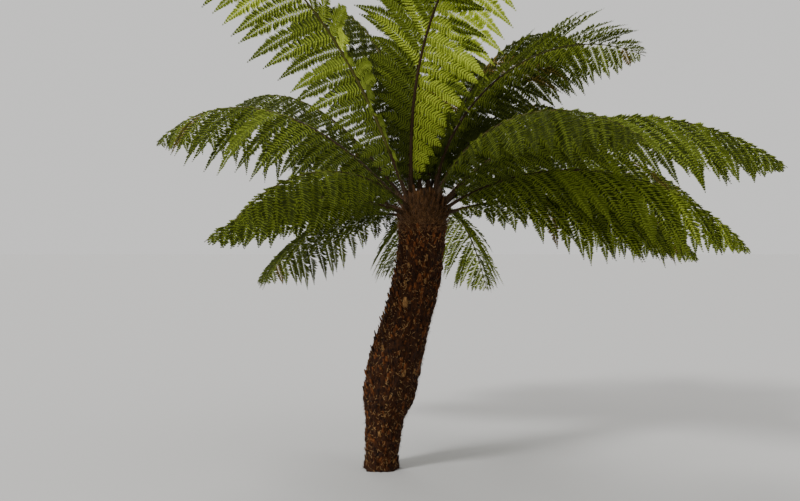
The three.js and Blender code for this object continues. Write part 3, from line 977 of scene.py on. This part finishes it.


# Leaf tones, from the lightest to the deepest, as linear base colours with the colour of the light
# that comes through. They are lit and shaded copies of one leaf colour: painted light and painted
# shade, beside tone that differs at random.
TONES = {
    "bright": ((0.470, 0.560, 0.070), (0.82, 0.94, 0.13)),
    "half_lit": ((0.210, 0.265, 0.036), (0.45, 0.54, 0.06)),
    "middle": ((0.130, 0.165, 0.024), (0.31, 0.38, 0.04)),
    "olive": ((0.082, 0.102, 0.016), (0.19, 0.24, 0.025)),
    "deep": ((0.033, 0.042, 0.008), (0.07, 0.09, 0.012)),
}
TONE_NAMES = list(TONES)
WITHERED = ((0.190, 0.125, 0.028), (0.34, 0.22, 0.04))
WITHERED_SHARE = 0.012  # share of the leaflets
# Painted shade towards the head: places by which leaflets at a frond's root are deeper than the
# rest, for most fronds and for some
MOST_SHADE_AT_ROOT = 1.1
SHADE_AT_ROOT = {0: 2.5, 1: 1.8, 5: 1.5}
SHADED_SHARE = 0.36  # share of the frond's length that is shaded so
PAINTED_BACK_SHADE = 2.6  # places by which the sheets of painted shade between the pinnules are deeper in tone
TONE_NOISE = 0.4  # places

# The place of each frond in the order of tones: (left side, right side) as seen from the head.
# These places are painted light and shade: sides in the light stand low in the order, fronds at
# the back and in shade stand deep.
FROND_TONES = [
    (-1.0, 0.7),
    (0.9, 1.0),
    (2.6, 2.4),
    (1.4, 2.2),
    (2.8, 2.8),
    (2.0, 3.0),
    (1.5, 1.5),
    (1.3, 1.3),
    (1.2, 1.2),
    (1.3, 1.6),
    (1.7, 1.6),
    (3.3, 3.3),
    (3.3, 3.3),
    (3.3, 3.3),
    (3.3, 3.3),
    (3.2, 3.2),
    (3.3, 3.3),
    (1.9, 1.9),
    (2.8, 2.8),
    (2.8, 2.8),
    (1.0, 1.0),
    (2.2, 2.2),
    (3.2, 3.2),
    (3.3, 3.3),
    (2.2, 2.4),
    (2.4, 2.4),
]

# Share of the length from which the rib is olive instead of brown, for most fronds and for some
MOST_OLIVE_FROM = 0.42
OLIVE_FROM = {0: 0.75, 1: 0.12}

# Colour, roughness and, for ribs, specular
RIB_BROWN = ((0.026, 0.012, 0.002), 0.7, 0.2)
RIB_OLIVE = ((0.062, 0.055, 0.007), 0.7, 0.2)
HAIR_BROWN = ((0.12, 0.055, 0.02), 0.6)

FROND_SEED = 100  # to which the frond's place is added
WITHERING_SEED = 5


def frond_nodes():
    return [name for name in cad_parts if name.startswith("frond")]


def tone_pile(leaves, place):
    """The pile of the tone at a place in the order of tones."""
    return leaves[TONE_NAMES[int(np.clip(round(place), 0, len(TONES) - 1))]]


def add_leaflets(leaves, withered, frames, number, random, withering):
    """A frond's leaflets on both sides of its rib, each in the pile of its tone."""
    length = FRONDS[number][LENGTH]
    hold = HELD_DIFFERENTLY.get(number, HELD)
    root_shade = SHADE_AT_ROOT.get(number, MOST_SHADE_AT_ROOT)
    shares = station_shares(length)
    for share, following in zip(shares, shares[1:]):
        for side, tone in zip((1, -1), FROND_TONES[number]):
            shade = tone + root_shade * max(0, 1 - share / SHADED_SHARE)
            place = random.normal(shade, TONE_NOISE)
            # The sheets between the pinnules take a deeper tone: painted shade in the gaps
            pile, shade_fill = tone_pile(leaves, place), tone_pile(leaves, place + PAINTED_BACK_SHADE)
            if withering.random() < WITHERED_SHARE:
                pile = withered
            middle = (share + following) / 2
            add_leaflet(pile, shade_fill, frames, length, hold, middle, side, random)


def make_fronds():
    """All fronds, with leaflets gathered by tone."""
    leaves = {tone: Pile() for tone in TONES}
    withered, brown_ribs, olive_ribs, hair = Pile(), Pile(), Pile(), Pile()
    withering = np.random.default_rng(WITHERING_SEED)
    for number, frond in enumerate(FRONDS):
        random = np.random.default_rng(FROND_SEED + number)
        frames = rib_frames(frond)
        turn = OLIVE_FROM.get(number, MOST_OLIVE_FROM)
        add_rib(brown_ribs, frames, 0.0, turn)
        add_rib(olive_ribs, frames, turn, LEAFLETS_END)
        add_rib_hair(hair, frames, random)
        add_leaflets(leaves, withered, frames, number, random, withering)
    for tone, pile in leaves.items():
        finish = leaf_material(f"leaf_{tone}", *TONES[tone])
        pile.stand_for(frond_nodes(), "frond_leaf", f"leaflets_{tone}", finish)
    for name, pile, finish, smooth in (
        ("leaflets_withered", withered, leaf_material("leaf_withered", *WITHERED), False),
        ("ribs_inner", brown_ribs, material("rib_brown", *RIB_BROWN), True),
        ("ribs_outer", olive_ribs, material("rib_olive", *RIB_OLIVE), True),
        ("rib_hair", hair, material("hair_brown", *HAIR_BROWN), False),
    ):
        pile.stand_for(frond_nodes(), "frond_leaf", name, finish, smooth)


# Camera, floor and light


def make_camera():
    lens = bpy.data.cameras.new("camera")
    lens.lens = CAMERA_LENS
    lens.sensor_width = SENSOR_WIDTH
    lens.sensor_fit = "HORIZONTAL"
    camera = bpy.data.objects.new("camera", lens)
    camera.location = CAMERA_AT
    camera.rotation_euler = (math.pi / 2, 0, 0)
    bpy.context.collection.objects.link(camera)
    bpy.context.scene.camera = camera


FLOOR_HALF = 300
FLOOR_PALE = ((0.44, 0.435, 0.425), 0.9, 0.1)  # colour, roughness, specular


def make_floor():
    half = FLOOR_HALF
    mesh = bpy.data.meshes.new("floor")
    corners = [(-half, -half, 0), (half, -half, 0), (half, half, 0), (-half, half, 0)]
    mesh.from_pydata(corners, [], [(0, 1, 2, 3)])
    mesh.materials.append(material("floor_pale", *FLOOR_PALE))
    floor = bpy.data.objects.new("floor", mesh)
    bpy.context.collection.objects.link(floor)


def aim(lamp, at, target):
    """Puts a lamp at a point and turns it to a target."""
    toward = np.array(target) - np.array(at)
    lamp.location = at
    lamp.rotation_euler = (
        math.atan2(math.hypot(toward[0], toward[1]), -toward[2]),
        0,
        math.atan2(toward[1], toward[0]) - math.pi / 2,
    )


LIGHT_TARGET = (0.2, 0, 1.4)
# The point that the light comes from, its spread in degrees, and its strength
KEY_LIGHT = ((-4.5, -4.0, 6.0), 12, 2.8)
BACK_LIGHT = ((-1.5, 5.0, 6.5), 25, 1.8)
SKY_COLOUR = (1.0, 0.99, 0.97, 1)
SKY_STRENGTH = 0.85


def sun_light(name, at, spread, strength):
    """Soft even light from the direction of a point, the same all over the floor."""
    light = bpy.data.lights.new(name, "SUN")
    light.angle = math.radians(spread)
    light.energy = strength
    lamp = bpy.data.objects.new(name, light)
    aim(lamp, at, LIGHT_TARGET)
    bpy.context.collection.objects.link(lamp)


def make_light():
    world = bpy.data.worlds.new("studio")
    world.use_nodes = True
    sky = world.node_tree.nodes["Background"]
    sky.inputs["Color"].default_value = SKY_COLOUR
    sky.inputs["Strength"].default_value = SKY_STRENGTH
    bpy.context.scene.world = world
    sun_light("key", *KEY_LIGHT)
    sun_light("back", *BACK_LIGHT)


# Fibre looks: dark and light colour, scale of the streaks, depth of the bumps
TRUNK_FIBRE = ((0.003, 0.0012, 0.0005), (0.055, 0.018, 0.004), 60, 0.006)
STUB_DARK = ((0.004, 0.0015, 0.0006), (0.05, 0.016, 0.004), 130, 0.003)
STUB_RED = ((0.016, 0.005, 0.0012), (0.20, 0.062, 0.013), 130, 0.003)
# Tan stubs: partly the real colour of broken stub ends, partly painted highlights
STUB_TAN_AND_GLINT = ((0.05, 0.022, 0.006), (0.34, 0.18, 0.06), 130, 0.003)
HEAD_FIBRE = ((0.006, 0.003, 0.001), (0.075, 0.033, 0.008), 70, 0.004)
HEAD_STUB = ((0.010, 0.004, 0.001), (0.09, 0.038, 0.009), 70, 0.002)

# Plain looks: colour, roughness, specular
ROOT_BROWN = ((0.07, 0.022, 0.005), 0.8, 0.1)
ROOT_DARK = ((0.018, 0.006, 0.002), 0.8, 0.1)
# Light tan chaff: partly real dead chaff, partly painted glints of light on the trunk's bristles
CHAFF_AND_GLINT_TAN = ((0.36, 0.21, 0.08), 0.6, 0.2)
HAIR_RED = ((0.13, 0.055, 0.012), 0.6)

DARK_STUBS_UPTO, RED_STUBS_UPTO = 0.5, 0.93  # shares of the stubs

# Rootlets and chaff on the trunk, the light chaff partly painted glints: how many, the seed of
# their draws, and how far they stray
BROWN_ROOTLETS = (9000, 31, 0.2)
DARK_ROOTLETS = (7000, 33, 0.3)
CHAFF_AND_GLINTS = (2600, 32, 0.9)


def make_trunk_parts():
    make_trunk(fibre_material("trunk_fibre", *TRUNK_FIBRE))
    make_trunk_stubs(
        (
            ("trunk_stubs_dark", DARK_STUBS_UPTO, fibre_material("stub_dark", *STUB_DARK)),
            ("trunk_stubs_red", RED_STUBS_UPTO, fibre_material("stub_red", *STUB_RED)),
            ("trunk_stubs_tan_and_glint", 1, fibre_material("stub_tan_and_glint", *STUB_TAN_AND_GLINT)),
        )
    )
    make_trunk_threads("trunk_roots", *BROWN_ROOTLETS, material("root_brown", *ROOT_BROWN))
    make_trunk_threads("trunk_roots_dark", *DARK_ROOTLETS, material("root_dark", *ROOT_DARK))
    make_trunk_threads("trunk_chaff_and_glints", *CHAFF_AND_GLINTS, material("chaff_and_glint_tan", *CHAFF_AND_GLINT_TAN))


def make_head_parts():
    make_head(fibre_material("head_fibre", *HEAD_FIBRE))
    make_head_stubs(fibre_material("head_stub", *HEAD_STUB))
    make_head_hair(material("hair_red", *HAIR_RED))


make_camera()
make_floor()
make_light()
make_trunk_parts()
make_head_parts()
make_fronds()
